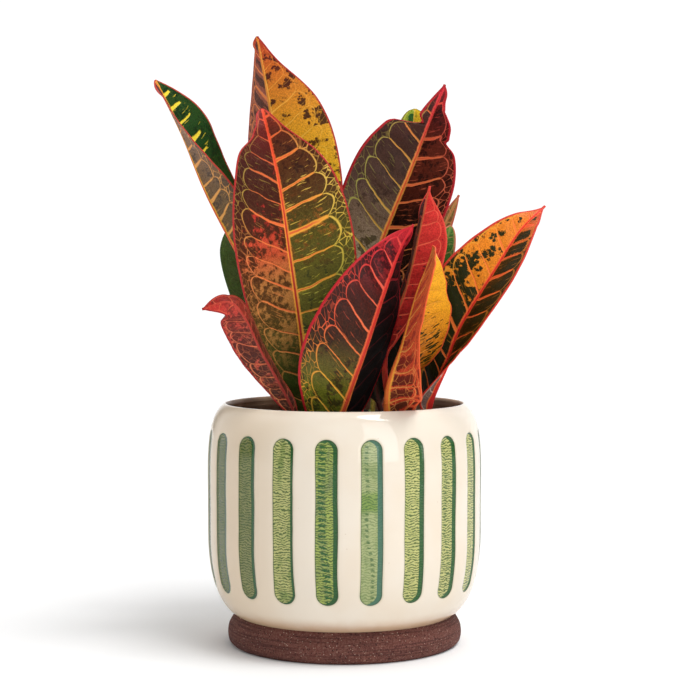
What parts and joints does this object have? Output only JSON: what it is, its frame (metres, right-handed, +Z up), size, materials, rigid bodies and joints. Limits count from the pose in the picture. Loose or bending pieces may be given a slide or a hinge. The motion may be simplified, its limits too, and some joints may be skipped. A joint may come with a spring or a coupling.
{
  "type": "potted croton",
  "caption": "Croton house plant with broad upright blotched leaves, in a round glazed ceramic pot with pressed vertical green stripes and a bare clay foot.",
  "frame": {"origin": "middle of the pot's flat clay underside, where the pot stands", "axes": "+Z up the pot's axis, +X to the viewer's right, -Y towards the viewer"},
  "size_m": [0.2103, 0.1963, 0.3322],
  "materials": {
    "glaze": "gloss",
    "bare_clay": "matte",
    "black_plastic": "satin",
    "compost": "matte",
    "bark": "matte",
    "leaf_purple": "satin",
    "leaf_crimson": "satin",
    "leaf_amber": "satin",
    "leaf_green": "satin"
  },
  "bodies": {
    "root": {"pot": "glaze", "grow_pot": "black_plastic", "compost": "compost", "stem_left": "bark", "stem_back_left": "bark", "stem_back_right": "bark", "stem_right": "bark", "stem_front": "bark", "leaf_front_tall": "leaf_purple", "leaf_back_tall": "leaf_amber", "leaf_left_tall": "leaf_green", "leaf_right_tall": "leaf_purple", "leaf_back_yellow": "leaf_amber", "leaf_front_crimson": "leaf_crimson", "leaf_red_upright": "leaf_crimson", "leaf_front_yellow": "leaf_amber", "leaf_right_orange": "leaf_amber", "leaf_low_left": "leaf_crimson", "leaf_left_green": "leaf_green", "leaf_back_right_narrow": "leaf_green", "leaf_right_green": "leaf_green", "leaf_centre_dark": "leaf_green", "leaf_rear_tall": "leaf_purple", "leaf_rear_middle": "leaf_amber", "leaf_rear_right": "leaf_crimson", "leaf_rear_low_left": "leaf_green", "leaf_rear_low_right": "leaf_amber"}
  },
  "joints": []
}
